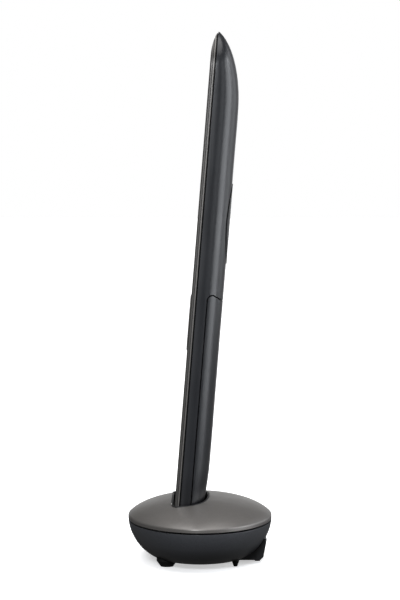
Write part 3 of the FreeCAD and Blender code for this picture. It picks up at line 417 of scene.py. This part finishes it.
def dress_nodes():
    """Gives every CAD node its material. Nodes that are in no list are keys."""
    gold = plain_metal("gold_plate", (0.66, 0.47, 0.17), (0.8, 0.6, 0.26), (0.2, 0.3))
    tin = plain_metal("tinned_steel", (0.45, 0.45, 0.45), (0.6, 0.6, 0.59), (0.3, 0.42))
    steel = plain_metal("ballast_steel", (0.22, 0.22, 0.22), (0.32, 0.32, 0.32), (0.4, 0.55), 0.5, (1, 8, 8))
    worn_by = [
        # Painted light and shade: one warm grey paint at three levels, darker on the front shell and lighter
        # on the cradle's top cover.
        (metallic_paint("base_paint", 1.12), ["cradle_top_cover"]),
        (metallic_paint("shell_paint", 0.48, masked=True), ["front_shell"]),
        (metallic_paint("trim_paint", 0.95), ["trim_ring"]),
        (casing_plastic(), ["rear_casing", "battery_cover", "speaker_cover"]),
        (bowl_plastic(), ["cradle_bowl", "page_key"]),
        (black_plastic(), ["cradle_well", "cradle_base_plate", "contact_block", "power_inlet", "line_socket",
                           "page_switch", "earpiece_receiver", "loudspeaker", "nav_carrier"]),
        (gloss_black(), ["fascia"]),
        (turned_metal(), ["nav_ring"]),
        (rubber(), ["rubber_feet", "rear_foot_strip", "display_gasket", "speaker_gasket", "keypad_mat",
                    "microphone_boot"]),
        (window_glass(), ["display_window"]),
        (display_panel(), ["display_module"]),
        (circuit_board(), ["main_board", "cradle_board"]),
        (gold, ["antenna", "battery_contacts", "charge_pads", "contact_leaf_left", "contact_leaf_right"]),
        (tin, ["shield_cans", "dome_switches", "microphone", "earpiece_mesh", "handset_screws",
               "cradle_screws"]),
        (steel, ["ballast_plates"]),
        (battery_wrap(), ["battery_pack"]),
    ]
    chosen = {name: material for material, names in worn_by for name in names}
    keys = key_plastic()
    for name, node in NODES.items():
        node.data.materials.clear()
        node.data.materials.append(chosen.get(name, keys))


# ---------------------------------------------------------------- printing on the keys, in mm
PRINT_PROUD = 0.02  # how far the print stands out of a key
PRINT_DEEP = 0.06  # how far it reaches in
DIGIT_HEIGHT, STAR_HEIGHT, HASH_HEIGHT = 3.5, 2.6, 3.1
BAR_SIZE = (3.6, 0.5)
RECEIVER_RADIUS = 2.3  # outside of the receiver sign's arch
HANDLE_DEPTH, PAD_DEPTH = 0.62, 1.05  # thickness of the arch, and of the pads at its ends
PAD_SHARE = 0.22  # share of the arch that each pad takes
RECEIVER_SPAN = math.radians(128)
RECEIVER_DROP = 1.1  # from the top of the arch to the middle of the sign


def key_face(node):
    """The middle of a key's front, in mm in the handset's own frame: x, y of the front, z."""
    corners = [HANDSET.inverted() @ v.co / MM for v in NODES[node].data.vertices]
    span = [(min(c[i] for c in corners), max(c[i] for c in corners)) for i in range(3)]
    return (span[0][0] + span[0][1]) / 2, span[1][0], (span[2][0] + span[2][1]) / 2


def print_on(node, name, mesh, material, turn=0.0):
    """Makes a thin printed piece from a mesh drawn in mm, x across and y up, centred on a key's front."""
    x, front, z = key_face(node)
    flat = Matrix(((1, 0, 0, x), (0, 0, -1, front), (0, 1, 0, z), (0, 0, 0, 1)))
    mesh.transform(HANDSET @ Matrix.Scale(MM, 4) @ flat @ Matrix.Rotation(turn, 4, "Z"))
    mesh.materials.clear()
    mesh.materials.append(material)
    piece = in_scene(name, mesh)
    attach(piece, node)


def glyph(text, height):
    """One character as a thin mesh, height mm tall and centred on the origin."""
    font = bpy.data.curves.new("glyph", "FONT")
    font.body = text
    font.extrude = 0.1  # any thickness does, as each side is moved to its own depth below
    drawn = in_scene("glyph", font)
    bpy.context.view_layer.update()
    mesh = bpy.data.meshes.new_from_object(drawn.evaluated_get(bpy.context.evaluated_depsgraph_get()))
    bpy.data.objects.remove(drawn)
    low = [min(v.co[i] for v in mesh.vertices) for i in (0, 1)]
    high = [max(v.co[i] for v in mesh.vertices) for i in (0, 1)]
    scale = height / (high[1] - low[1])
    for v in mesh.vertices:
        v.co.x = scale * (v.co.x - (low[0] + high[0]) / 2)
        v.co.y = scale * (v.co.y - (low[1] + high[1]) / 2)
        v.co.z = PRINT_PROUD if v.co.z > 0 else -PRINT_DEEP
    return mesh


def flat_mesh(outline):
    """A thin mesh with this outline."""
    form = bmesh.new()
    front = [form.verts.new((x, y, PRINT_PROUD)) for x, y in outline]
    back = [form.verts.new((x, y, -PRINT_DEEP)) for x, y in outline]
    form.faces.new(front)
    form.faces.new(list(reversed(back)))
    count = len(outline)
    for i in range(count):
        k = (i + 1) % count
        form.faces.new((front[k], front[i], back[i], back[k]))
    bmesh.ops.triangulate(form, faces=list(form.faces))
    bmesh.ops.recalc_face_normals(form, faces=list(form.faces))
    mesh = bpy.data.meshes.new("print")
    form.to_mesh(mesh)
    form.free()
    return mesh


def bar(width, height, steps=8):
    """The outline of a bar with round ends."""
    r = height / 2
    outline = []
    for side, start in ((1, -math.pi / 2), (-1, math.pi / 2)):
        for i in range(steps + 1):
            a = start + math.pi * i / steps
            outline.append((side * (width / 2 - r) + r * math.cos(a), r * math.sin(a)))
    return outline


def receiver(steps=24):
    """The outline of a telephone receiver: an arch with a square pad at each end."""
    outer, inner = [], []
    for i in range(steps + 1):
        t = i / steps
        a = math.pi / 2 + RECEIVER_SPAN * (0.5 - t)
        at_pad = t < PAD_SHARE or t > 1 - PAD_SHARE
        inside = RECEIVER_RADIUS - (PAD_DEPTH if at_pad else HANDLE_DEPTH)
        outer.append((RECEIVER_RADIUS * math.cos(a), RECEIVER_RADIUS * math.sin(a)))
        inner.append((inside * math.cos(a), inside * math.sin(a)))
    middle = RECEIVER_RADIUS - RECEIVER_DROP
    return [(x, y - middle) for x, y in reversed(outer + inner[::-1])]


def print_keys():
    """Numbers on the dial keys, receiver signs on the call keys and bars on the soft keys."""
    white = printed_ink("white_print", (0.62, 0.63, 0.64))
    green = printed_ink("green_print", (0.08, 0.42, 0.12))
    red = printed_ink("red_print", (0.55, 0.05, 0.04))
    for digit in "1234567890":
        print_on("key_" + digit, "print_" + digit, glyph(digit, DIGIT_HEIGHT), white)
    print_on("key_star", "print_star", glyph("*", STAR_HEIGHT), white)
    print_on("key_hash", "print_hash", glyph("#", HASH_HEIGHT), white)
    print_on("key_talk", "print_talk", flat_mesh(receiver()), green, math.radians(45))
    print_on("key_end", "print_end", flat_mesh(receiver()), red)
    for side in ("left", "right"):
        print_on("key_soft_" + side, "print_soft_" + side, flat_mesh(bar(*BAR_SIZE)), white)


def seam_lip():
    """The casing's lip at the bottom end, which closes the seam behind the trim ring. It wears the casing's
    material, whose painted seam shade makes it mostly black.
    """
    low, high = Vector(LIP_LOW), Vector(LIP_HIGH)
    form = bmesh.new()
    bmesh.ops.create_cube(form, size=1.0)
    mesh = bpy.data.meshes.new("seam_lip")
    form.to_mesh(mesh)
    form.free()
    box = Matrix.Translation((low + high) / 2) @ Matrix.Diagonal((*(high - low), 1))
    mesh.transform(HANDSET @ Matrix.Scale(MM, 4) @ box)
    mesh.materials.append(NODES["rear_casing"].data.materials[0])
    piece = in_scene("seam_lip", mesh)
    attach(piece, "handset")


# ---------------------------------------------------------------- camera, light and floor
LAMP_COLOUR = (0.93, 0.96, 1.0)
LAMPS = [  # name, place, target, size in metres, power in watts
    ("right_strip", (-0.05, 0.60, 0.17), (0, 0, 0.10), (0.5, 0.44), 2.6),
    ("right_fill", (0.42, 0.42, 0.22), (0, 0, 0.08), (0.30, 0.36), 0.5),
    ("back_fill", (-0.45, 0.42, 0.20), (0, 0, 0.10), (0.30, 0.36), 0.25),
    ("front_key", (0.80, -0.15, 0.36), (0, 0, 0.02), (0.25, 0.15), 5.6),
    ("rim_glint", (-0.33, 0.62, 0.33), (0, 0, 0.014), (0.10, 0.10), 0.18),
]
CEILING_PLACE = (0.05, -0.02, 1)
CEILING_POWER = 3.1
CEILING_SPREAD = math.radians(80)
# The lit wall: its edge by the x of the direction seen, and the light outside and inside that edge.
WALL = {"From Min": -0.965, "From Max": -0.985, "To Min": 0.07, "To Max": 1.0}
FLOOR_RADIUS = 40
CAMERA_PLACE = (0.85, 0, 0.1186)
CAMERA_TARGET = (0, 0, 0.0864)
FOCAL_LENGTH = 153
CLIP_NEAR, CLIP_FAR = 0.01, 20


def aim(thing, target):
    """Points a lamp or the camera at a target."""
    direction = Vector(target) - thing.location
    thing.rotation_euler = direction.to_track_quat("-Z", "Y").to_euler()


def softbox(name, place, target, size, power):
    """A soft rectangular lamp."""
    light = bpy.data.lights.new(name, "AREA")
    light.shape = "RECTANGLE"
    light.size, light.size_y = size
    light.energy = power
    light.color = LAMP_COLOUR
    lamp = in_scene(name, light)
    lamp.location = place
    aim(lamp, target)


def surroundings():
    """A backdrop that looks white all round, but lights the object fully only from its far side."""
    world = bpy.data.worlds.new("surroundings")
    bpy.context.scene.world = world
    world.use_nodes = True
    nodes, links = world.node_tree.nodes, world.node_tree.links
    place = nodes.new("ShaderNodeTexCoord")
    split = nodes.new("ShaderNodeSeparateXYZ")
    wall = nodes.new("ShaderNodeMapRange")
    wall.interpolation_type = "SMOOTHSTEP"
    for socket, value in WALL.items():
        wall.inputs[socket].default_value = value
    seen = nodes.new("ShaderNodeLightPath")
    level = nodes.new("ShaderNodeMath")
    level.operation = "MAXIMUM"
    backdrop = nodes["Background"]
    backdrop.inputs["Color"].default_value = (1, 1, 1, 1)
    links.new(place.outputs["Generated"], split.inputs["Vector"])
    links.new(split.outputs["X"], wall.inputs["Value"])
    links.new(wall.outputs["Result"], level.inputs[0])
    links.new(seen.outputs["Is Camera Ray"], level.inputs[1])
    links.new(level.outputs["Value"], backdrop.inputs["Strength"])


def studio():
    """Pale floor, soft overhead light and a few soft lamps round the object."""
    surroundings()
    bpy.ops.mesh.primitive_circle_add(vertices=96, radius=FLOOR_RADIUS, fill_type="NGON")
    floor = bpy.context.object
    floor.name = "floor"
    floor.data.materials.append(studio_floor())
    floor.visible_glossy = False
    floor.visible_diffuse = False

    sky = bpy.data.lights.new("ceiling", "SUN")
    sky.energy = CEILING_POWER
    sky.angle = CEILING_SPREAD
    ceiling = in_scene("ceiling", sky)
    ceiling.location = CEILING_PLACE
    aim(ceiling, (0, 0, 0))

    for lamp in LAMPS:
        softbox(*lamp)


def camera():
    """The side view: looking along -X from just above the base."""
    lens = bpy.data.cameras.new("camera")
    lens.lens = FOCAL_LENGTH
    lens.clip_start, lens.clip_end = CLIP_NEAR, CLIP_FAR
    cam = in_scene("camera", lens)
    cam.location = CAMERA_PLACE
    aim(cam, CAMERA_TARGET)
    bpy.context.scene.camera = cam


def colours():
    """Shows the colours as they are, with no film-like curve."""
    view = bpy.context.scene.view_settings
    view.view_transform = "Standard"
    view.look = "None"


camera()
studio()
colours()
dress_nodes()
print_keys()
seam_lip()
